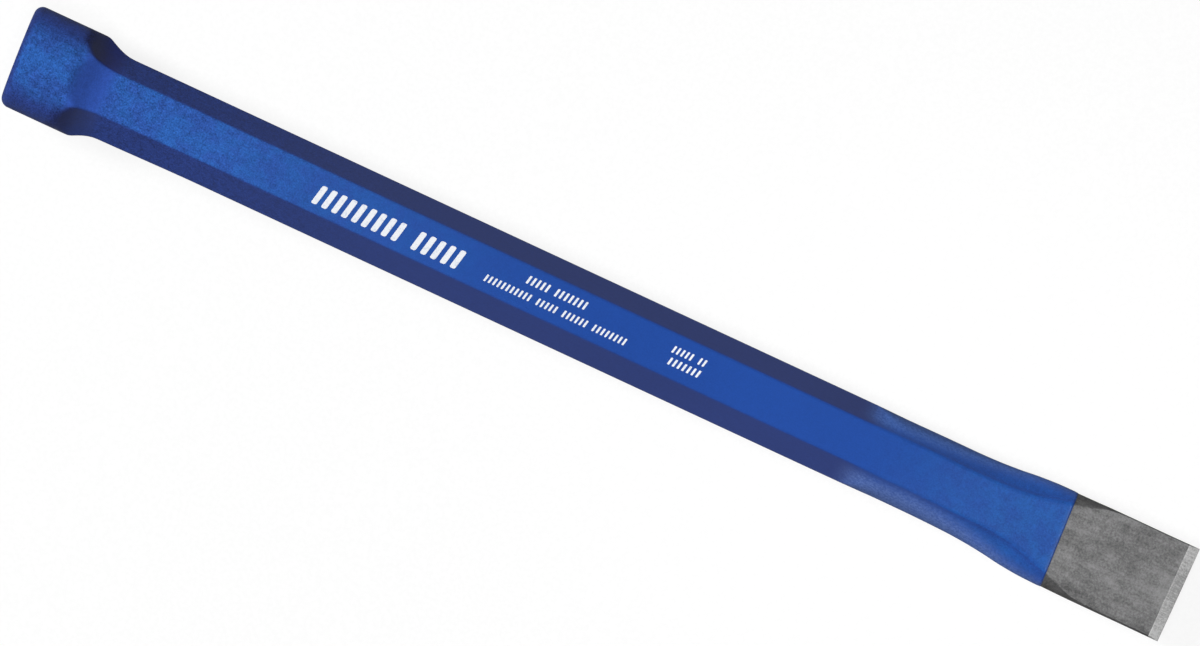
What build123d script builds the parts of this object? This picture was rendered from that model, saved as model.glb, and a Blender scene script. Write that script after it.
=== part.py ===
"""A one-piece forged cold chisel with a painted head and shank and a bare steel blade.

The tool lies along X. The painted struck face is at x = 0 and the cutting edge at x = LENGTH. Z is up,
and the wide faces of the blade look up and down. All sizes are in millimetres.
"""

import os
from math import atan, cos, degrees, hypot, radians, sin, tan

from build123d import *

# Overall sizes
LENGTH = 324.0
PAINT = 0.15  # thickness of the enamel coat
PAINT_END = 290.7  # where the coat stops and the bare blade begins

# Hexagonal bar, nominally 3/4 inch across flats, with a narrow land on each corner
HALF_FLATS = 18.85 / 2
CORNER_LAND = 0.32  # half the width of a land

# Struck head: a round collar with a rounded rim, into which the six flats run out
HEAD_RADIUS = 13.38
RIM_RADIUS = 2.2
FLARE_FOOT = 26.9  # x where the flats start to rise towards the head
FLARE_RADIUS = 16.0
FLARE_ANGLE = 24.5  # degrees from the axis

# Drawn-out taper and blade, ending in a ground bevel
TAPER_START = 237.6
BLEND_LENGTH = 22.0  # length over which the wide flats bend over into the wedge
BEVEL_START = 321.2
BEVEL_HALF_THICKNESS = 1.75
EDGE_HALF_THICKNESS = 0.12
BLADE_LAND = 0.12

# Sections along the taper: x, half width of the wide face, half width overall, and the upright side's
# share of the half thickness
TAPER_SECTIONS = [
    (243.0, 5.40, 10.72, 0.08),
    (250.0, 5.38, 10.68, 0.16),
    (257.0, 5.40, 10.70, 0.22),
    (263.0, 5.45, 10.77, 0.26),
    (268.5, 5.58, 10.92, 0.29),
    (274.0, 5.90, 11.32, 0.31),
    (280.0, 6.67, 12.05, 0.33),
    (286.0, 8.17, 12.57, 0.38),
    (292.0, 9.72, 12.70, 0.48),
    (298.0, 11.62, 12.70, 0.68),
    (304.0, 12.40, 12.70, 0.85),
    (310.0, 12.45, 12.70, 0.90),
    (317.0, 12.45, 12.70, 0.90),
    (LENGTH, 12.45, 12.70, 0.90),
]

# Printed marks on the upper flat: rows of plain leaning bars. For each row: the middle of the first bar
# in x, the middle of the row in y, the row's height, a bar's width, the pitch of the bars, and the number
# of bars in each group. Groups stand one pitch further apart than bars do.
INK = 0.06
BAR_LEAN = 12.0  # degrees from upright
PRINTED_ROWS = {
    "print_main_mark": [(84.8, -0.8, 5.2, 1.5, 2.75, [9, 5])],
    "print_short_row": [(141.7, 2.1, 2.2, 0.6, 1.3, [5, 7])],
    "print_long_row": [(131.7, -2.0, 1.9, 0.55, 1.2, [11, 5, 6, 8])],
    "print_end_rows": [(182.3, 1.6, 1.9, 0.55, 1.2, [5, 2]), (182.6, -1.5, 2.0, 0.6, 1.3, [7])],
}


def twelve_corners(face_half, half_thickness, half_width, side_half, land):
    """Corners of a section with a flat top and flat sides, given in YZ and anticlockwise.

    The flank between the wide face and the side is broken by a land, which spans the sharp corner at
    (face_half, half_thickness) by the length land on each side of it.
    """
    run, drop = half_width - face_half, half_thickness - side_half
    flank = hypot(run, drop)
    quarter = [
        (half_width, side_half),
        (face_half + run * land / flank, half_thickness - drop * land / flank),
        (face_half - land, half_thickness),
    ]
    upper_left = [(-y, z) for y, z in reversed(quarter)]
    lower_left = [(-y, -z) for y, z in quarter]
    lower_right = [(y, -z) for y, z in reversed(quarter)]
    return quarter + upper_left + lower_left + lower_right


def moved_out(corners, distance):
    """The corners of a convex outline after each of its sides has moved outwards by distance."""
    normals = []
    for (y0, z0), (y1, z1) in zip(corners, corners[1:] + corners[:1]):
        side = hypot(y1 - y0, z1 - z0)
        normals.append(((z1 - z0) / side, (y0 - y1) / side))
    moved = []
    for (y, z), (ny0, nz0), (ny1, nz1) in zip(corners, normals[-1:] + normals[:-1], normals):
        reach = distance / (1 + ny0 * ny1 + nz0 * nz1)
        moved.append((y + reach * (ny0 + ny1), z + reach * (nz0 + nz1)))
    return moved


def bar_corners():
    """Corners of the hexagonal bar, each broken by a land."""
    side_half = CORNER_LAND
    return twelve_corners(
        face_half=HALF_FLATS * tan(radians(30)),
        half_thickness=HALF_FLATS,
        half_width=HALF_FLATS / cos(radians(30)) - side_half * tan(radians(30)),
        side_half=side_half,
        land=CORNER_LAND / cos(radians(30)),
    )


def wedge_half_thickness(x):
    """Half thickness of the taper: the wide flats bend over BLEND_LENGTH into a straight wedge."""
    run = x - TAPER_START
    slope = (HALF_FLATS - BEVEL_HALF_THICKNESS) / (BEVEL_START - TAPER_START - BLEND_LENGTH / 2)
    if run < BLEND_LENGTH:
        return HALF_FLATS - slope * run**2 / (2 * BLEND_LENGTH)
    return HALF_FLATS - slope * (run - BLEND_LENGTH / 2)


def turned_about_x(turn):
    """Plane through the axis with its own x along the tool, turned about the axis by turn degrees."""
    return Plane(origin=(0, 0, 0), x_dir=(1, 0, 0), z_dir=(0, cos(radians(turn)), sin(radians(turn))))


def flared_level(turn, grow):
    """Distance from the axis to the flat or land that faces turn degrees from Z, and its flare's angle."""
    if turn % 60 == 0:
        return HALF_FLATS + grow, FLARE_ANGLE
    corner = HALF_FLATS / cos(radians(30)) - CORNER_LAND * tan(radians(30))
    return corner + grow, degrees(atan(tan(radians(FLARE_ANGLE)) / cos(radians(30))))


def tool_body(grow):
    """The whole tool with its surface moved out by grow: 0 is the bare steel, PAINT the painted steel."""
    start = PAINT - grow

    # Bar and head: a round bar with a rounded rim, cut by three pairs of flared flats and three of lands
    with BuildPart() as bar:
        with BuildSketch(Plane.YZ.offset(start)):
            Circle(HEAD_RADIUS + grow)
        extrude(amount=TAPER_START - start)
        fillet(bar.edges().filter_by(GeomType.CIRCLE).sort_by(Axis.X)[0], radius=RIM_RADIUS + grow)
        for turn in range(0, 180, 30):
            level, angle = flared_level(turn, grow)
            bow_radius = (FLARE_RADIUS - grow) * sin(radians(FLARE_ANGLE)) / sin(radians(angle))
            with BuildSketch(turned_about_x(turn)):
                with BuildLine():
                    foot = Line((TAPER_START, level), (FLARE_FOOT, level))
                    bow = JernArc(foot @ 1, (-1, 0), bow_radius, -angle)
                    ramp_run = (bow @ 1).X - start
                    ramp = Line(bow @ 1, (start, (bow @ 1).Y + ramp_run * tan(radians(angle))))
                    Polyline(ramp @ 1, (start, 0), (TAPER_START, 0), foot @ 0)
                make_face()
                mirror(about=Plane.XZ)
            extrude(amount=2 * HEAD_RADIUS, both=True, mode=Mode.INTERSECT)

    # Taper and blade: the bar's section drawn out wide and thin
    with BuildPart() as blade:
        with BuildSketch(Plane.YZ.offset(TAPER_START)):
            Polygon(*moved_out(bar_corners(), grow), align=None)
        for x, face_half, half_width, side_share in TAPER_SECTIONS:
            thickness = wedge_half_thickness(x)
            corners = twelve_corners(face_half, thickness, half_width, side_share * thickness, BLADE_LAND)
            with BuildSketch(Plane.YZ.offset(x)):
                Polygon(*moved_out(corners, grow), align=None)
        loft()

    # Cutting edge: one ground bevel above and one below
    bevel_rise = (BEVEL_HALF_THICKNESS - EDGE_HALF_THICKNESS) / (LENGTH - BEVEL_START)
    with BuildPart() as tool:
        add(bar.part)
        add(blade.part)
        with BuildSketch(Plane.XZ):
            with BuildLine():
                Polyline(
                    (LENGTH + 1, EDGE_HALF_THICKNESS - bevel_rise),
                    (BEVEL_START - 1, BEVEL_HALF_THICKNESS + bevel_rise),
                    (LENGTH + 1, BEVEL_HALF_THICKNESS + bevel_rise),
                    close=True,
                )
            make_face()
            mirror(about=Plane.XZ)
        extrude(amount=2 * HEAD_RADIUS, both=True, mode=Mode.SUBTRACT)
    return tool.part


os.makedirs("parts", exist_ok=True)

# Steel forging: head, shank, taper, blade and cutting edge in one piece
with BuildPart() as steel_forging:
    add(tool_body(0))
steel_forging.part.label = "steel_forging"
export_step(steel_forging.part, "parts/steel_forging.step")

# Paint coat: a thin skin over the struck face, head, shank and taper, open at the blade
with BuildPart() as paint_coat:
    add(tool_body(PAINT))
    split(bisect_by=Plane.YZ.offset(PAINT_END), keep=Keep.BOTTOM)
    add(steel_forging.part, mode=Mode.SUBTRACT)
paint_coat.part.label = "paint_coat"
export_step(paint_coat.part, "parts/paint_coat.step")

# Printed marks: thin bars of ink on the upper flat
for name, rows in PRINTED_ROWS.items():
    with BuildPart() as ink:
        for first_x, middle, height, width, pitch, groups in rows:
            lean = height / 2 * tan(radians(BAR_LEAN))
            bar_x = first_x
            for bar_count in groups:
                with BuildSketch(Plane.XY.offset(HALF_FLATS + PAINT)):
                    with Locations([(bar_x + pitch * step, middle) for step in range(bar_count)]):
                        Polygon(
                            (-width / 2 - lean, -height / 2),
                            (width / 2 - lean, -height / 2),
                            (width / 2 + lean, height / 2),
                            (-width / 2 + lean, height / 2),
                        )
                extrude(amount=INK)
                bar_x += pitch * (bar_count + 1)
    ink.part.label = name
    export_step(ink.part, f"parts/{name}.step")
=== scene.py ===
"""The looks of a painted cold chisel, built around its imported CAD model.

The scene is in metres and in the CAD's frame: +X runs from the struck face to the cutting edge, +Z out of
the printed upper flat. Shape sizes are named in millimetres, and mesh_piece turns them to metres.
"""

import math

import bpy
import numpy as np
from mathutils import Matrix, Vector


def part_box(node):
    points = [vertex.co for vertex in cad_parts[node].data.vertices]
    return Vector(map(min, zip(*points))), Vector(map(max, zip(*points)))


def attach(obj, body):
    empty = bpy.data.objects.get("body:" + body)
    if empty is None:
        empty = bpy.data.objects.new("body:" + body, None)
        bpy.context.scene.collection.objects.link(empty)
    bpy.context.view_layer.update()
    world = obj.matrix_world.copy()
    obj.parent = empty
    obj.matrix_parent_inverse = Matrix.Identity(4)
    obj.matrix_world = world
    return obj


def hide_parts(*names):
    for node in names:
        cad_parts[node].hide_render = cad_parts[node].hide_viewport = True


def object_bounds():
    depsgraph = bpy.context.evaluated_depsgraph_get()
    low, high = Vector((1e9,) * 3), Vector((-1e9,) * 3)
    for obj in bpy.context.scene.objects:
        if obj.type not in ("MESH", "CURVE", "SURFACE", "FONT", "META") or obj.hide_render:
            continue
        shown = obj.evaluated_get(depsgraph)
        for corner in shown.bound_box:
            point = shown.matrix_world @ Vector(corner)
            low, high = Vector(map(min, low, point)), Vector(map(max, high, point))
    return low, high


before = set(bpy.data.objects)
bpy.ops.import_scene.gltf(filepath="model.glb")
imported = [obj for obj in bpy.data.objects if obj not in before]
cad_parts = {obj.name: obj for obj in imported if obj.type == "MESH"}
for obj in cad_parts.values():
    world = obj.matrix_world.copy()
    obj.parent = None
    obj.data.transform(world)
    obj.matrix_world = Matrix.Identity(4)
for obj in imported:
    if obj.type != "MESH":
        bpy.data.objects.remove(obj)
cad_low, cad_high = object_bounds()

MM = 0.001

# Sizes shared with the CAD, in millimetres
LENGTH = cad_high.x / MM
PAINT_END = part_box("paint_coat")[1].x / MM
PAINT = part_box("steel_forging")[0].x / MM
HEAD_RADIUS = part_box("steel_forging")[1].y / MM
HALF_FLATS = 18.85 / 2
RIM_RADIUS = 2.2
FLARE_FOOT, FLARE_BOW, FLARE_ANGLE = 26.9, 16.0, math.radians(24.5)
TAPER_START, BLEND_LENGTH = 237.6, 22.0
BEVEL_START, BEVEL_HALF_THICKNESS, EDGE_HALF_THICKNESS = 321.2, 1.75, 0.12

# What forging, rolling and spraying add to the plain shape, in millimetres
CORNER_RADIUS = 1.2
SIDES_BULGE_FROM, SIDES_BULGE_TO = 235.0, 243.0
SIDE_DRAFT = 0.21
HOLLOW_REACH = 1.8
COLLAR_SOFTNESS = 0.5
END_OUT_OF_SQUARE = math.tan(math.radians(3.4))
NEAR_SIDE_FLARE, NEAR_FLARE_FOOT, NEAR_FLARE_FULL = 0.5, 56.0, FLARE_FOOT - 4
NEAR_CORNER_PULL, FAR_CORNER_PULL, CORNER_PULL_POWER = 0.6, 0.9, 8
CORNER_PULL_FOOT, CORNER_PULL_FULL = FLARE_FOOT + 1.5, FLARE_FOOT - 6.5
NEAR_RIDGE_LAG, LAG_RISES, LAG_FALLS = 0.9, (260, 279), (297, 282)
BLADE_OFFSET, OFFSET_FROM, OFFSET_TO = -0.68, 250, 296
UNEVENNESS, BAR_EVENNESS, FADE_AT_BAR, FADE_AT_BEVEL = 0.05, 0.9, 12, 5
LONG_WAVE, SHORT_WAVE, WAVES, SEED = 16, 5, 6, 7
PAINT_LINE_LEAN, PAINT_LINE_REACH = 0.045, 9.0
BEVEL_LEAN, BEVEL_REACH = 0.006, 8.0
FEATHER_LENGTH, FEATHER_SHARE = 1.2, 0.5

# How much of a section's edges its rounded corners take: the side corner's share of the side, its largest
# share of the flank, the ridge's largest share of the flank, and how much further the side corner reaches
# along the flank than along the side. The wide face always stops at least LEAST_FLANK short of the side.
SIDE_ROUNDED, FLANK_ROUNDED, RIDGE_ROUNDED, FLANK_PER_SIDE = 0.98, 0.6, 0.3, 1.3
LEAST_FLANK = 0.1

# The drawn-out taper: x, half width of the wide face, half width overall, the upright side's share of the
# half thickness, how far the side rounds over, and the depth of the hollow beside the ridge
TAPER = np.array(
    [
        (TAPER_START, 5.42, 10.62, 0.48, 1.00, 0.04),
        (243.0, 5.38, 10.61, 0.50, 1.00, 0.06),
        (250.0, 5.36, 10.63, 0.48, 1.00, 0.08),
        (257.0, 5.38, 10.69, 0.47, 1.00, 0.10),
        (263.0, 5.42, 10.77, 0.46, 1.00, 0.12),
        (268.5, 5.56, 11.00, 0.45, 1.00, 0.15),
        (274.0, 5.88, 11.46, 0.45, 1.00, 0.18),
        (280.0, 6.65, 12.20, 0.45, 0.95, 0.19),
        (286.0, 8.15, 12.62, 0.46, 0.85, 0.15),
        (292.0, 9.70, 12.72, 0.50, 0.70, 0.07),
        (296.0, 11.10, 12.77, 0.60, 0.50, 0.02),
        (299.5, 12.15, 12.81, 0.78, 0.30, 0.00),
        (305.0, 12.47, 12.82, 0.88, 0.20, 0.00),
        (LENGTH, 12.47, 12.82, 0.90, 0.20, 0.00),
    ]
)

# The printed rows of each CAD node. For each row: the middle of its first bar in x, the middle of the row
# in y, its height, a bar's width, the pitch, and the number of bars in each group. Groups stand a pitch
# further apart.
PRINTED_ROWS = {
    "print_main_mark": [(84.8, -0.8, 5.2, 1.5, 2.75, [9, 5])],
    "print_short_row": [(141.7, 2.1, 2.2, 0.6, 1.3, [5, 7])],
    "print_long_row": [(131.7, -2.0, 1.9, 0.55, 1.2, [11, 5, 6, 8])],
    "print_end_rows": [(182.3, 1.6, 1.9, 0.55, 1.2, [5, 2]), (182.6, -1.5, 2.0, 0.6, 1.3, [7])],
}
BAR_LEAN = math.radians(12)
BAR_SOFTNESS = 0.3  # a corner's radius as a share of the bar's width
INK_SUNK, INK_PROUD = 0.06, 0.03

# Points along each stretch of a quarter section: side, side corner, flank, ridge, wide face
STRETCHES = (3, 9, 12, 7, 10)
QUARTER = sum(STRETCHES)
RING = 4 * QUARTER
DISC_RINGS = 8

# Along the painted length: where the spacing of the stations changes, and then, for the coat and for the
# steel under it, the number of steps round the rim and the spacing in each stretch
SPACING_CHANGES = (12.0, 30.0, 233.0, 242.0)
ON_THE_COAT = 12, (0.6, 0.28, 1.6, 0.35, 0.55)
UNDER_THE_COAT = 6, (2.5, 1.0, 12.0, 1.0, 1.6)


def ramp(x, start, end):
    """0 before start, 1 after end, and a smooth step between."""
    t = np.clip((x - start) / (end - start), 0, 1)
    return t * t * (3 - 2 * t)


def taper_value(x, column):
    """A column of TAPER at any x, by a cubic that never overshoots the rows."""
    xs, ys = TAPER[:, 0], TAPER[:, column]
    steps = np.diff(ys) / np.diff(xs)
    slopes = np.zeros_like(ys)
    same_way = steps[:-1] * steps[1:] > 0
    slopes[1:-1][same_way] = 2 / (1 / steps[:-1][same_way] + 1 / steps[1:][same_way])
    x = np.clip(x, xs[0], xs[-1])
    row = np.clip(np.searchsorted(xs, x, side="right") - 1, 0, len(xs) - 2)
    width = xs[row + 1] - xs[row]
    t = (x - xs[row]) / width
    return (
        ys[row] * (1 + 2 * t) * (1 - t) ** 2
        + slopes[row] * width * t * (1 - t) ** 2
        + ys[row + 1] * t**2 * (3 - 2 * t)
        + slopes[row + 1] * width * t**2 * (t - 1)
    )


def flare_rise(x):
    """How far the flats have risen towards the head: a hollow bow, then a straight slope."""
    back = np.maximum(FLARE_FOOT - x, 0)
    bow_back = FLARE_BOW * math.sin(FLARE_ANGLE)
    bow_rise = FLARE_BOW * (1 - math.cos(FLARE_ANGLE))
    bow = FLARE_BOW - np.sqrt(FLARE_BOW**2 - np.minimum(back, bow_back) ** 2)
    return np.where(back < bow_back, bow, bow_rise + (back - bow_back) * math.tan(FLARE_ANGLE))


def half_thickness(x):
    """Half thickness of the steel under the wide face: bar, wedge and ground bevel."""
    run = np.maximum(x - TAPER_START, 0)
    slope = (HALF_FLATS - BEVEL_HALF_THICKNESS) / (BEVEL_START - TAPER_START - BLEND_LENGTH / 2)
    bent = HALF_FLATS - slope * run**2 / (2 * BLEND_LENGTH)
    wedge = HALF_FLATS - slope * (run - BLEND_LENGTH / 2)
    bevel_slope = (BEVEL_HALF_THICKNESS - EDGE_HALF_THICKNESS) / (LENGTH - BEVEL_START)
    bevel = BEVEL_HALF_THICKNESS - bevel_slope * (x - BEVEL_START)
    return np.minimum(np.where(run < BLEND_LENGTH, bent, wedge), bevel)


def pair(y, z):
    """Points from their two coordinates, one row each."""
    return np.stack(np.broadcast_arrays(y, z), axis=-1).astype(float)


def quarter_section(x, grow):
    """Points from the middle of the side to the middle of the wide face, for each station x."""
    thirty = math.radians(30)
    bar_half = HALF_FLATS + flare_rise(x) + grow
    rounded_off = CORNER_RADIUS * (1 / math.cos(thirty) - 1)
    drawn = np.clip((x - SIDES_BULGE_FROM) / (SIDES_BULGE_TO - SIDES_BULGE_FROM), 0, 1)

    def blend(in_bar, in_taper):
        return in_bar + (in_taper - in_bar) * drawn

    z = half_thickness(x) + flare_rise(x) + grow
    width = blend(bar_half / math.cos(thirty) - rounded_off, taper_value(x, 2) + grow)
    face = np.minimum(blend(bar_half * math.tan(thirty), taper_value(x, 1) + grow), width - LEAST_FLANK)
    side = blend(rounded_off * math.tan(2 * thirty), taper_value(x, 3) * z)
    corner_y = np.maximum(width - blend(0, SIDE_DRAFT * side), face + LEAST_FLANK / 2)
    flank = pair(face - corner_y, z - side)
    flank_length = np.linalg.norm(flank, axis=1)
    along = flank / flank_length[:, None]
    inwards = pair(-along[:, 1], along[:, 0])
    side_cut = blend(SIDE_ROUNDED * side, SIDE_ROUNDED * side * taper_value(x, 4))
    flank_cut = blend(side_cut, np.minimum(FLANK_PER_SIDE * side_cut, FLANK_ROUNDED * flank_length))
    ridge_cut = np.minimum(CORNER_RADIUS * math.tan(thirty), RIDGE_ROUNDED * flank_length)

    equator, side_corner = pair(width, 0), pair(corner_y, side)
    ridge, middle = pair(face, z), pair(0, z)
    side_end = equator + (side_corner - equator) * (1 - side_cut / side)[:, None]
    flank_start = side_corner + along * flank_cut[:, None]
    flank_end = ridge - along * ridge_cut[:, None]
    face_start = pair(face - ridge_cut, z)
    bends = [
        (equator, (equator + side_end) / 2, side_end),
        (side_end, side_corner, flank_start),
        (flank_start, (flank_start + flank_end) / 2, flank_end),
        (flank_end, ridge, face_start),
        (face_start, (face_start + middle) / 2, middle),
    ]
    points = []
    for (start, corner, end), count in zip(bends, STRETCHES):
        for t in np.arange(count) / count:
            points.append(start * (1 - t) ** 2 + 2 * corner * t * (1 - t) + end * t**2)
    points.append(middle)
    points = np.stack(points, axis=1)

    # The hammered hollow that runs along the flank beside the ridge
    from_ridge = np.linalg.norm(points - flank_end[:, None], axis=2) / HOLLOW_REACH
    hollow = taper_value(x, 5) * drawn
    depth = hollow[:, None] * from_ridge * np.exp(1 - from_ridge)
    ridge_start = QUARTER - STRETCHES[4] - STRETCHES[3]
    depth[:, ridge_start:] = 0
    return points + inwards[:, None] * depth[:, :, None]


def wave(points, wavelength, phase):
    """A smooth unevenness between -1 and 1 with about this wavelength, the same on every run."""
    rng = np.random.default_rng(SEED + phase)
    total = np.zeros(points.shape[:-1])
    for _ in range(WAVES):
        direction = rng.normal(size=3)
        direction *= 2 * math.pi / wavelength / np.linalg.norm(direction)
        total += np.sin(points @ direction + rng.uniform(0, 2 * math.pi))
    return total / WAVES


def forged_widths(y, stations):
    """The section's widths as forged: the near side differs from the far one, and the corners stick out."""
    # The flare runs out more slowly on the near side
    slow = NEAR_SIDE_FLARE * ramp(stations, NEAR_FLARE_FOOT, NEAR_FLARE_FULL)
    y = y * np.where(y < 0, 1 + (slow / HEAD_RADIUS)[:, None], 1)

    # On the near side the wide face's ridge stays in longer before it runs out to the blade's edge
    lag = (NEAR_RIDGE_LAG * ramp(stations, *LAG_RISES) * ramp(stations, *LAG_FALLS))[:, None]
    face = taper_value(stations, 1)[:, None]
    width = y.max(axis=1)[:, None]
    out = -y
    on_face = out * (1 - lag / face)
    on_flank = width - (width - out) * (1 + lag / (width - face))
    y = np.where(out > 0, -np.where(out < face, on_face, on_flank), y)

    # The side corners of the flare were drawn out further than its flats
    reach = y / y.max(axis=1)[:, None]
    pull = np.where(reach < 0, NEAR_CORNER_PULL, FAR_CORNER_PULL)
    pull = pull * ramp(stations, CORNER_PULL_FOOT, CORNER_PULL_FULL)[:, None]
    return y + pull * np.sign(reach) * reach**CORNER_PULL_POWER


def tool_surface(stations, grow):
    """The tool's surface moved out by grow: a row of points for each station, RING points in a row."""
    quarter = quarter_section(stations, grow)
    back = quarter[:, :0:-1]
    section = np.concatenate(
        [quarter[:, :-1], back * (-1, 1), quarter[:, :-1] * (-1, -1), back * (1, -1)], axis=1
    )
    section[:, :, 0] = forged_widths(section[:, :, 0], stations)

    # The flats run out through the round collar, and the collar's rim is rounded
    rim = RIM_RADIUS + grow
    from_end = np.clip(stations - (PAINT - grow), 0, rim)
    collar = HEAD_RADIUS + grow - rim + np.sqrt(rim**2 - (rim - from_end) ** 2)
    radius = np.linalg.norm(section, axis=2)
    closeness = np.maximum(1 - np.abs(radius - collar[:, None]) / COLLAR_SOFTNESS, 0)
    limited = np.minimum(radius, collar[:, None]) - closeness**2 * COLLAR_SOFTNESS / 4
    section = section * (limited / radius)[:, :, None]

    # Unevenness of the forged ends, always inwards, and hardly any on the rolled bar between them
    x = np.repeat(stations[:, None], RING, axis=1)
    points = np.concatenate([x[:, :, None], section], axis=2)
    on_bar = ramp(stations, FLARE_FOOT, FLARE_FOOT + FADE_AT_BAR)
    on_bar = on_bar * ramp(stations, TAPER_START, TAPER_START - FADE_AT_BAR)
    depth = UNEVENNESS * (1 - BAR_EVENNESS * on_bar)
    depth = depth * ramp(stations, BEVEL_START, BEVEL_START - FADE_AT_BEVEL)
    waves = 0.35 * wave(points, LONG_WAVE, 1) + 0.15 * wave(points, SHORT_WAVE, 2)
    dent = depth[:, None] * (0.5 + waves)
    points[:, :, 1:] *= (1 - dent / np.linalg.norm(points[:, :, 1:], axis=2))[:, :, None]

    # The blade is drawn out a little to one side of the bar's axis
    points[:, :, 1] += BLADE_OFFSET * ramp(x, OFFSET_FROM, OFFSET_TO)

    # The struck end is a little out of square
    near_end = ramp(x, FLARE_FOOT, 0)
    points[:, :, 0] += near_end * END_OUT_OF_SQUARE * (HEAD_RADIUS - RIM_RADIUS - points[:, :, 1])
    return points


def lean(points, line_x, amount, reach):
    """Shears the stations within reach of line_x along X, so that an edge there runs at a slant."""
    strength = ramp(points[:, :, 0], line_x - reach, line_x)
    points[:, :, 0] -= amount * points[:, :, 1] * strength
    return points


def stations_between(*stretches):
    """Stations in millimetres: each stretch is its first x, its last x and the spacing between."""
    parts = []
    for first, last, spacing in stretches:
        steps = max(2, round((last - first) / spacing))
        parts.append(np.linspace(first, last, steps, endpoint=False))
    parts.append([stretches[-1][1]])
    return np.concatenate(parts)


def painted_stations(grow, rim_steps, spacings):
    """Stations from the struck face, round its rim, to the paint line, on the surface moved out by grow."""
    start, rim = PAINT - grow, RIM_RADIUS + grow
    rim_angles = np.linspace(0, math.pi / 2, rim_steps, endpoint=False)
    ends = (start + rim, *SPACING_CHANGES, PAINT_END)
    rest = stations_between(*zip(ends[:-1], ends[1:], spacings))
    return np.concatenate([start + rim * (1 - np.cos(rim_angles)), rest])


def wall(rows, first=0, inside_out=False):
    """Quads between the neighbouring rings of a grid that starts at vertex first."""
    faces = []
    for row in range(rows - 1):
        low, high = first + row * RING, first + (row + 1) * RING
        for column in range(RING):
            after = (column + 1) % RING
            quad = (low + column, low + after, high + after, high + column)
            faces.append(quad[::-1] if inside_out else quad)
    return faces


def end_disc(ring_points, first_ring, first_new, inside_out=False):
    """Points and faces that close the struck end: shrinking rings and a middle point."""
    points, faces = [], []
    middle = ring_points.mean(axis=0)
    previous = first_ring
    for ring in range(1, DISC_RINGS):
        points.append(middle + (ring_points - middle) * (1 - ring / DISC_RINGS))
        start = first_new + (ring - 1) * RING
        for column in range(RING):
            after = (column + 1) % RING
            quad = (start + column, start + after, previous + after, previous + column)
            faces.append(quad[::-1] if inside_out else quad)
        previous = start
    points.append(middle[None])
    centre = first_new + (DISC_RINGS - 1) * RING
    for column in range(RING):
        triangle = (centre, previous + (column + 1) % RING, previous + column)
        faces.append(triangle[::-1] if inside_out else triangle)
    return np.concatenate(points), faces


def flat_end(first):
    """Faces that close the thin end at the cutting edge, between the ring's upper and lower halves."""
    half, last = RING // 2, first + RING
    faces = [(first, first + 1, last - 1)]
    for column in range(1, half - 1):
        faces.append((first + column, first + column + 1, last - column - 1, last - column))
    faces.append((first + half - 1, first + half, first + half + 1))
    return faces


def mesh_piece(name, points, faces, materials, face_materials=None):
    """A smooth-shaded mesh object from points in millimetres."""
    mesh = bpy.data.meshes.new(name)
    mesh.from_pydata((np.asarray(points) * MM).tolist(), [], faces)
    for material in materials:
        mesh.materials.append(material)
    mesh.polygons.foreach_set("use_smooth", [True] * len(faces))
    if face_materials is not None:
        mesh.polygons.foreach_set("material_index", face_materials)
    mesh.update()
    piece = bpy.data.objects.new(name, mesh)
    bpy.context.scene.collection.objects.link(piece)
    return piece


# ---------------------------------------------------------------- materials


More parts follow.
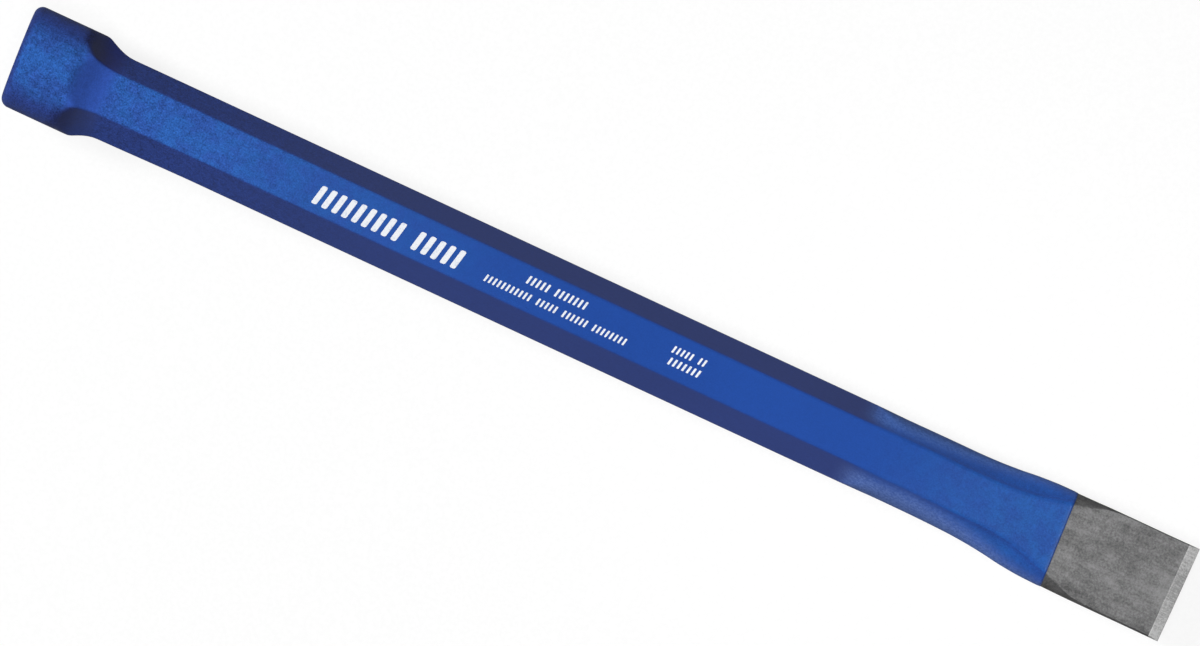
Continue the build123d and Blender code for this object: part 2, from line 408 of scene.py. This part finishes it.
class Nodes:
    """A short way to write a material's node tree."""

    def __init__(self, name):
        self.material = bpy.data.materials.new(name)
        self.material.use_nodes = True
        self.tree = self.material.node_tree
        self.shader = self.tree.nodes["Principled BSDF"]
        self.place = self.add("ShaderNodeTexCoord").outputs["Object"]

    def add(self, kind, **settings):
        node = self.tree.nodes.new(kind)
        for key, value in settings.items():
            setattr(node, key, value)
        return node

    def feed(self, socket, value):
        """Links value to the socket if it is another node's output, or else sets it."""
        if isinstance(value, bpy.types.NodeSocket):
            self.tree.links.new(value, socket)
        else:
            socket.default_value = value

    def noise(self, scale, detail=2.0, roughness=0.5, stretch=None, place=None):
        """Noise with features of about 1 / scale metres, stretched along X, Y and Z if asked."""
        place = place or self.place
        if stretch:
            mapping = self.add("ShaderNodeMapping")
            self.feed(mapping.inputs["Vector"], place)
            mapping.inputs["Scale"].default_value = stretch
            place = mapping.outputs["Vector"]
        node = self.add("ShaderNodeTexNoise")
        self.feed(node.inputs["Vector"], place)
        node.inputs["Scale"].default_value = scale
        node.inputs["Detail"].default_value = detail
        node.inputs["Roughness"].default_value = roughness
        return node.outputs["Fac"]

    def math(self, operation, a, b=0.5, c=0.5):
        node = self.add("ShaderNodeMath", operation=operation)
        for socket, value in zip(node.inputs, (a, b, c)):
            self.feed(socket, value)
        return node.outputs[0]

    def rescale(self, value, low, high, new_low=0.0, new_high=1.0):
        """Maps low..high to new_low..new_high, clamped, with a smooth step."""
        node = self.add("ShaderNodeMapRange", interpolation_type="SMOOTHSTEP")
        for name, setting in (
            ("Value", value),
            ("From Min", low),
            ("From Max", high),
            ("To Min", new_low),
            ("To Max", new_high),
        ):
            self.feed(node.inputs[name], setting)
        return node.outputs["Result"]

    def mix(self, share, first, second, blend="MIX"):
        node = self.add("ShaderNodeMix", data_type="RGBA", blend_type=blend)
        for index, value in ((0, share), (6, first), (7, second)):
            self.feed(node.inputs[index], value)
        return node.outputs[2]

    def times(self, a, b):
        return self.math("MULTIPLY", a, b)

    def vary(self, level, pattern, amount):
        """The level, raised or lowered by up to half the amount as the pattern goes."""
        return self.math("MULTIPLY_ADD", self.math("SUBTRACT", pattern, 0.5), amount, level)

    def band(self, value, rise, fall):
        """1 between the two ranges, with a smooth step over each."""
        return self.times(self.rescale(value, *rise), self.rescale(value, *fall, 1.0, 0.0))

    def position(self):
        """X, Y and Z on the tool, in metres."""
        node = self.add("ShaderNodeSeparateXYZ")
        self.feed(node.inputs[0], self.place)
        return node.outputs["X"], node.outputs["Y"], node.outputs["Z"]

    def levelness(self):
        """1 where the surface lies level, 0 where it stands upright."""
        node = self.add("ShaderNodeSeparateXYZ")
        self.feed(node.inputs[0], self.tree.nodes["Texture Coordinate"].outputs["Normal"])
        return self.math("ABSOLUTE", node.outputs["Z"])

    def grey(self, value):
        """The value as a grey colour."""
        node = self.add("ShaderNodeCombineColor")
        for channel in node.inputs:
            self.feed(channel, value)
        return node.outputs[0]

    def bump(self, height, distance, strength=1.0, before=None):
        node = self.add("ShaderNodeBump")
        node.inputs["Strength"].default_value = strength
        node.inputs["Distance"].default_value = distance
        self.feed(node.inputs["Height"], height)
        if before is not None:
            self.feed(node.inputs["Normal"], before)
        return node.outputs["Normal"]


# The enamel's colours in linear light. Towards the head and the blade it is patchy, in two blues each.
# The pooled blue is painted light: the flare's hollow made lighter where it faces away from the key
BAR_BLUE, POOLED_LIT_BLUE = (0.0125, 0.0650, 0.330, 1), (0.0310, 0.0920, 0.435, 1)
HEAD_BLUES = (0.0275, 0.0880, 0.360, 1), (0.0240, 0.1030, 0.380, 1)
BLADE_BLUES = (0.0155, 0.0780, 0.345, 1), (0.0135, 0.0900, 0.355, 1)
# The side blues are painted shade, darker than the flats on the upright sides; the taper's far side is
# painted lighter
BAR_SIDE_SHADED_BLUE = (0.0240, 0.0535, 0.253, 1)
TAPER_SIDE_SHADED_BLUE, FAR_TAPER_SIDE_LIT_BLUE = (0.0170, 0.0604, 0.299, 1), (0.0170, 0.0770, 0.365, 1)
# Painted shade on the far side of the flare's hollow and in the step beside the collar
SHADED_BLUE, STEP_SHADED_BLUE = (0.0217, 0.0410, 0.258, 1), (0.0220, 0.0370, 0.165, 1)
# The film blues: a pale, dry film on the taper's sides, partly a painted sheen
FILM_SHEEN_BLUE, FAR_FILM_SHEEN_BLUE = (0.200, 0.325, 0.730, 1), (0.165, 0.330, 0.860, 1)


def flats_colour(n, x, patches, near_blade, hollow_pooled_and_lit):
    """The enamel on the level flats: patchy towards both ends, and painted lighter in the flare's hollow,
    where it has pooled smooth.
    """
    patchy = n.rescale(patches, 0.35, 0.65)
    colour = n.mix(n.rescale(x, 0.05, 0.17, 1.0, 0.0), BAR_BLUE, n.mix(patchy, *HEAD_BLUES))
    colour = n.mix(near_blade, colour, n.mix(patchy, *BLADE_BLUES))
    return n.mix(hollow_pooled_and_lit, colour, POOLED_LIT_BLUE)


def sides_colour(n, on_taper, far_side, shaded, step):
    """The enamel on the sloping sides, in painted shade: deep on the bar, less on the taper, painted
    lighter on its far side, darkest beside the collar.
    """
    colour = n.mix(on_taper, BAR_SIDE_SHADED_BLUE, TAPER_SIDE_SHADED_BLUE)
    colour = n.mix(n.times(on_taper, far_side), colour, FAR_TAPER_SIDE_LIT_BLUE)
    colour = n.mix(shaded, colour, SHADED_BLUE)
    return n.mix(step, colour, STEP_SHADED_BLUE)


def dry_film_and_sheen(n, x, y, z):
    """Where the taper's sides are dry and painted with a sheen: up to the ridge at first, then lower, later
    so on the near side.
    """
    sinks_from = n.rescale(y, -0.008, 0.008, 0.248, 0.237)
    reach = n.rescale(x, sinks_from, 0.288, 0.0085, 0.0030)
    above = n.math("SUBTRACT", n.math("ABSOLUTE", z), reach)
    on_sides = n.times(n.rescale(above, -0.003, 0.0012, 1.0, 0.0), n.rescale(x, 0.2305, 0.2395))
    return n.times(on_sides, 0.95)


def blue_enamel():
    """Sprayed blue enamel: grainy on the forged ends, smooth on the bar, dry on the taper's sides, with
    painted shade, light and sheen.
    """
    n = Nodes("blue_enamel")
    x, y, z = n.position()
    grain = n.noise(2300, 3.0, 0.6)
    patches = n.noise(190, 3.0, 0.6)
    clouds = n.noise(28, 2.0)
    level = n.rescale(n.levelness(), 0.58, 0.95)
    far_side = n.rescale(y, -0.008, 0.008)
    near_blade = n.rescale(x, 0.23, 0.28)
    on_taper = n.rescale(x, 0.232, 0.242)

    # Paint has gathered smooth in the hollow of the flare, which is painted lighter, with painted shade on
    # its far side and in the step beside the collar
    hollow_pooled_and_lit = n.band(x, (0.0150, 0.0185), (0.0235, 0.0280))
    step = n.band(x, (0.0135, 0.0155), (0.0175, 0.0225))
    shaded = n.times(hollow_pooled_and_lit, far_side)
    near_head = n.times(n.rescale(x, 0.03, 0.12, 1.0, 0.0), n.rescale(hollow_pooled_and_lit, 0.0, 1.0, 1.0, 0.2))
    graininess = n.math("MULTIPLY_ADD", near_blade, 0.5, 0.3)
    graininess = n.math("MULTIPLY_ADD", near_head, 1.5, graininess)
    # Painted shade: where the surface stands upright it takes the darker colours of the sides
    sides = sides_colour(n, on_taper, far_side, shaded, step)
    colour = n.mix(level, sides, flats_colour(n, x, patches, near_blade, hollow_pooled_and_lit))

    # Clouds, patches and grain, and painted shade over the struck face and its rim
    ends = n.math("MAXIMUM", near_head, near_blade)
    tone = n.vary(n.vary(1.0, clouds, 0.25), patches, n.times(ends, 0.4))
    flecks = n.math("MULTIPLY_ADD", n.noise(800, 2.0), 0.35, n.times(grain, 0.85))
    speckle = n.times(n.math("SUBTRACT", flecks, 0.6), graininess)
    tone = n.times(n.math("MULTIPLY_ADD", speckle, 1.6, tone), n.rescale(x, 0.0, 0.004, 0.68, 1.0))
    colour = n.mix(1.0, colour, n.grey(tone), "MULTIPLY")

    # A dry, dusty film on the taper's sides, painted pale and grey as a sheen
    dry_and_sheen = dry_film_and_sheen(n, x, y, z)
    dust_and_sheen = n.times(dry_and_sheen, n.rescale(n.noise(1500, 3.0, 0.65), 0.3, 0.7, 0.45, 1.2))
    film_and_sheen = n.mix(far_side, FILM_SHEEN_BLUE, FAR_FILM_SHEEN_BLUE)
    n.feed(n.shader.inputs["Base Color"], n.mix(n.times(dust_and_sheen, 0.5), colour, film_and_sheen))

    roughness = n.math("MULTIPLY_ADD", n.math("MAXIMUM", near_head, dry_and_sheen), 0.2, 0.38)
    n.feed(n.shader.inputs["Roughness"], roughness)
    hidden = n.times(n.math("MAXIMUM", shaded, step), n.math("SUBTRACT", 1.0, level))
    n.feed(n.shader.inputs["Specular IOR Level"], n.rescale(hidden, 0.0, 1.0, 0.5, 0.27))
    peel = n.bump(n.noise(620, 2.0), 0.00002, 0.5)
    n.feed(n.shader.inputs["Normal"], n.bump(n.times(grain, graininess), 0.00005, 0.6, peel))
    return n.material


def forged_steel():
    """Bare forged steel: mottled grey with faint streaks, paler in the middle and towards the far side,
    with painted shade on the upright sides.
    """
    n = Nodes("forged_steel")
    scale = n.noise(1900, 4.0, 0.65)
    mottle = n.noise(330, 3.0, 0.6)
    clouds = n.noise(70, 2.0)
    streaks = n.noise(420, 3.0, 0.6, stretch=(0.25, 1.6, 1.6))
    level = 0.5
    for pattern, amount in ((scale, 1.1), (mottle, 0.5), (streaks, 0.6), (clouds, 0.7)):
        level = n.vary(level, pattern, amount)
    y = n.position()[1]
    level = n.math("ADD", level, n.rescale(y, -0.0125, 0.0125, -0.10, 0.02))
    level = n.math("ADD", level, n.rescale(n.math("ABSOLUTE", y), 0.003, 0.0125, 0.11, -0.05))
    colour = n.mix(n.rescale(level, 0.0, 1.0), (0.082, 0.082, 0.083, 1), (0.320, 0.320, 0.322, 1))
    # Painted shade: the upright sides darker than the wide face
    tone = n.rescale(n.levelness(), 0.8, 0.96, 0.62, 1.0)
    n.feed(n.shader.inputs["Base Color"], n.mix(1.0, colour, n.grey(tone), "MULTIPLY"))
    n.shader.inputs["Metallic"].default_value = 0.3
    n.feed(n.shader.inputs["Roughness"], n.rescale(mottle, 0.3, 0.7, 0.62, 0.48))
    pits = n.bump(scale, 0.00004, 0.7)
    n.feed(n.shader.inputs["Normal"], n.bump(mottle, 0.00008, 0.4, pits))
    return n.material


def ground_steel():
    """The freshly ground bevel: bright, brightest at its ends, with fine scratches square to the edge."""
    n = Nodes("ground_steel")
    scratches = n.noise(900, 4.0, 0.7, stretch=(0.12, 2.2, 0.4))
    specks = n.noise(2200, 3.0, 0.6)
    from_middle = n.math("ABSOLUTE", n.position()[1])
    level = n.vary(scratches, specks, 1.1)
    level = n.math("ADD", level, n.rescale(from_middle, 0.001, 0.0125, -0.09, 0.12))
    colour = n.mix(n.rescale(level, 0.2, 0.8), (0.33, 0.33, 0.33, 1), (0.66, 0.66, 0.66, 1))
    n.feed(n.shader.inputs["Base Color"], colour)
    n.shader.inputs["Metallic"].default_value = 0.25
    n.feed(n.shader.inputs["Roughness"], n.rescale(specks, 0.3, 0.7, 0.36, 0.5))
    n.feed(n.shader.inputs["Normal"], n.bump(scratches, 0.00003, 0.7))
    return n.material


def white_ink():
    """Pad-printed white ink, a little thin in places."""
    n = Nodes("white_ink")
    cover = n.noise(1500, 3.0, 0.6)
    colour = n.mix(n.rescale(cover, 0.28, 0.5), (0.62, 0.68, 0.80, 1), (0.86, 0.88, 0.92, 1))
    n.feed(n.shader.inputs["Base Color"], colour)
    n.feed(n.shader.inputs["Roughness"], n.rescale(cover, 0.3, 0.7, 0.6, 0.45))
    n.feed(n.shader.inputs["Normal"], n.bump(cover, 0.00001, 0.5))
    return n.material


def pale_floor():
    """White paper that mostly glows by itself, so that the tool's shadow on it stays faint."""
    n = Nodes("pale_floor")
    fibres = n.noise(900, 3.0)
    colour = n.mix(n.rescale(fibres, 0.3, 0.7), (0.12, 0.12, 0.12, 1), (0.14, 0.14, 0.14, 1))
    n.feed(n.shader.inputs["Base Color"], colour)
    n.shader.inputs["Roughness"].default_value = 0.9
    n.shader.inputs["Specular IOR Level"].default_value = 0.1
    n.shader.inputs["Emission Color"].default_value = (1, 1, 1, 1)
    n.shader.inputs["Emission Strength"].default_value = 0.86
    return n.material


# ---------------------------------------------------------------- the tool


def build_paint(enamel):
    """The coat: an outer skin from the struck face to the paint line, and an inner one on the steel."""
    stations = painted_stations(PAINT, *ON_THE_COAT)
    feathered = PAINT * (1 - FEATHER_SHARE * ramp(stations, PAINT_END - FEATHER_LENGTH, PAINT_END))
    outer = tool_surface(stations, feathered)
    inner = tool_surface(painted_stations(0.0, *UNDER_THE_COAT), 0.0)
    outer = lean(outer, PAINT_END, PAINT_LINE_LEAN, PAINT_LINE_REACH)
    inner = lean(inner, PAINT_END, PAINT_LINE_LEAN, PAINT_LINE_REACH)
    rows, inner_rows = len(outer), len(inner)
    first_inner = rows * RING
    faces = wall(rows) + wall(inner_rows, first_inner, inside_out=True)
    edge_face = len(faces)
    outer_end, inner_end = (rows - 1) * RING, first_inner + (inner_rows - 1) * RING
    for column in range(RING):
        after = (column + 1) % RING
        faces.append((outer_end + column, outer_end + after, inner_end + after, inner_end + column))
    points = [outer.reshape(-1, 3), inner.reshape(-1, 3)]
    count = (rows + inner_rows) * RING
    for ring_points, first_ring, inside_out in ((outer[0], 0, False), (inner[0], first_inner, True)):
        disc_points, disc_faces = end_disc(ring_points, first_ring, count, inside_out)
        points.append(disc_points)
        faces += disc_faces
        count += len(disc_points)
    coat = mesh_piece("enamel_coat", np.concatenate(points), faces, [enamel])
    for face in coat.data.polygons[edge_face : edge_face + RING]:
        face.use_smooth = False
    return coat


def build_steel(forged, ground):
    """The forging: coarse under the paint, fine over the blade, with a bright bevel."""
    hidden = painted_stations(0.0, *UNDER_THE_COAT)[:-4]
    shown = stations_between(
        (hidden[-1] + 1.0, 318.0, 0.3),
        (318.0, BEVEL_START, 0.25),
        (BEVEL_START, LENGTH, 0.2),
    )
    stations = np.concatenate([hidden, shown])
    surface = lean(tool_surface(stations, 0.0), BEVEL_START, BEVEL_LEAN, BEVEL_REACH)
    surface[:, :, 0] = np.minimum(surface[:, :, 0], LENGTH)
    rows = len(surface)
    faces = wall(rows)
    bevel_row = int(np.searchsorted(stations, BEVEL_START - 0.01))
    face_materials = [0] * (bevel_row * RING) + [1] * ((rows - 1 - bevel_row) * RING)
    disc_points, disc_faces = end_disc(surface[0], 0, rows * RING)
    tip_faces = flat_end((rows - 1) * RING)
    face_materials += [0] * len(disc_faces) + [1] * len(tip_faces)
    points = np.concatenate([surface.reshape(-1, 3), disc_points])
    faces += disc_faces + tip_faces
    return mesh_piece("steel_body", points, faces, [forged, ground], face_materials)


def leaning_bar(x, y, width, height, base, top):
    """Points and faces of a low leaning bar with softened corners; x, y is its middle."""
    corner = BAR_SOFTNESS * width
    plan = []
    for quarter, (sx, sy) in enumerate(((1, 1), (-1, 1), (-1, -1), (1, -1))):
        cx, cy = sx * (width / 2 - corner), sy * (height / 2 - corner)
        for turn in (0, 30, 60, 90):
            angle = math.radians(90 * quarter + turn)
            rise = cy + corner * math.sin(angle)
            plan.append((x + cx + corner * math.cos(angle) + rise * math.tan(BAR_LEAN), y + rise))
    count = len(plan)
    points = [(px, py, base) for px, py in plan] + [(px, py, top) for px, py in plan]
    faces = [tuple(range(count - 1, -1, -1)), tuple(range(count, 2 * count))]
    for side in range(count):
        after = (side + 1) % count
        faces.append((side, after, count + after, count + side))
    return points, faces


def build_print(name, rows, ink):
    """One printed mark: its rows of plain leaning bars."""
    base, top = HALF_FLATS + PAINT - INK_SUNK, HALF_FLATS + PAINT + INK_PROUD
    points, faces = [], []
    for first_x, middle, height, width, pitch, groups in rows:
        group_x = first_x
        for bar_count in groups:
            for step in range(bar_count):
                bar_x = group_x + pitch * step
                bar_points, bar_faces = leaning_bar(bar_x, middle, width, height, base, top)
                faces += [tuple(len(points) + vertex for vertex in face) for face in bar_faces]
                points += bar_points
            group_x += pitch * (bar_count + 1)
    piece = mesh_piece(name, points, faces, [ink])
    piece.data.polygons.foreach_set("use_smooth", [False] * len(faces))
    return piece


enamel = blue_enamel()
paint = build_paint(enamel)
steel = build_steel(forged_steel(), ground_steel())
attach(paint, "root")
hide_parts("paint_coat")
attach(steel, "root")
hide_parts("steel_forging")
ink = white_ink()
for node, rows in PRINTED_ROWS.items():
    piece = build_print(node.replace("print", "ink"), rows, ink)
    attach(piece, "root")
    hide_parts(node)


# ---------------------------------------------------------------- stage, light and camera

MIDDLE = (0.16, 0, 0)
DIAGONAL = math.radians(24.91)
VIEW_TILT = math.radians(2.35)
FRAME_WIDTH = 303 * MM
LENS, SENSOR = 800, 36
VIEW_TARGET = Vector((162.5, 0.14, 0)) * MM
ROOM_LIGHT, ROOM_REFLECTED, ROOM_SEEN = 0.020, 0.28, 0.95
PAPER_RADIUS, PAPER_SIDES, PAPER_GAP = 1500, 96, 0.05


def build_floor():
    """A round sheet of paper just under the head and the bar's lower flat, on which the tool would rest."""
    head_x, head_z = RIM_RADIUS + 3, -(HEAD_RADIUS + PAINT)
    bar_x, bar_z = TAPER_START, -(HALF_FLATS + PAINT)
    slope = (bar_z - head_z) / (bar_x - head_x)
    middle_x = LENGTH / 2
    middle_z = head_z + slope * (middle_x - head_x)
    points = []
    for side in range(PAPER_SIDES):
        angle = 2 * math.pi * side / PAPER_SIDES
        x, y = PAPER_RADIUS * math.cos(angle), PAPER_RADIUS * math.sin(angle)
        points.append((x, y, x * slope))
    floor = mesh_piece("floor", points, [tuple(range(PAPER_SIDES))], [pale_floor()])
    floor.location = Vector((middle_x, 0, middle_z - PAPER_GAP)) * MM
    floor.visible_diffuse = False
    floor.visible_glossy = False
    return floor


def area_light(name, place, target, size, power, spread=180):
    """A soft round light at place, aimed at target, in metres and watts; the camera doesn't see it."""
    light = bpy.data.lights.new(name, "AREA")
    light.shape = "DISK"
    light.size = size
    light.energy = power
    light.spread = math.radians(spread)
    lamp = bpy.data.objects.new(name, light)
    lamp.location = place
    lamp.rotation_euler = (Vector(target) - Vector(place)).to_track_quat("-Z", "Y").to_euler()
    lamp.visible_camera = False
    bpy.context.scene.collection.objects.link(lamp)
    return lamp


def build_camera():
    """Straight above the wide face, turned so that the tool lies down the frame's diagonal."""
    camera = bpy.data.cameras.new("camera")
    camera.lens = LENS
    camera.sensor_width = SENSOR
    viewer = bpy.data.objects.new("camera", camera)
    tilt = Matrix.Rotation(VIEW_TILT, 4, "X")
    turn = Matrix.Rotation(DIAGONAL, 4, "Z")
    back = Matrix.Translation((0, 0, FRAME_WIDTH * LENS / SENSOR))
    viewer.matrix_world = Matrix.Translation(VIEW_TARGET) @ tilt @ turn @ back
    bpy.context.scene.collection.objects.link(viewer)
    bpy.context.scene.camera = viewer


def build_world():
    """Pale all round for the camera, dimmer in reflections, and nearly dark as a light."""
    world = bpy.data.worlds.new("studio")
    world.use_nodes = True
    tree = world.node_tree
    background = tree.nodes["Background"]
    rays = tree.nodes.new("ShaderNodeLightPath")
    colour = None
    for ray, value in (("Is Glossy Ray", ROOM_REFLECTED), ("Is Camera Ray", ROOM_SEEN)):
        mix = tree.nodes.new("ShaderNodeMix")
        mix.data_type = "RGBA"
        tree.links.new(rays.outputs[ray], mix.inputs[0])
        if colour is None:
            mix.inputs[6].default_value = (ROOM_LIGHT, ROOM_LIGHT, ROOM_LIGHT, 1)
        else:
            tree.links.new(colour, mix.inputs[6])
        mix.inputs[7].default_value = (value, value, value, 1)
        colour = mix.outputs[2]
    tree.links.new(colour, background.inputs["Color"])
    bpy.context.scene.world = world


build_floor()
key = area_light("key", (-1.89, 0, 1.60), MIDDLE, size=0.8, power=64.5)
fill = area_light("fill", (0.16, -0.67, 2.51), MIDDLE, size=0.8, power=27)
area_light("blade_light", (0.62, -0.04, 0.37), (0.305, 0, 0), size=0.22, power=0.032, spread=20)
for lamp in (key, fill):
    lamp.visible_glossy = False
build_world()
build_camera()
bpy.context.scene.view_settings.view_transform = "Standard"
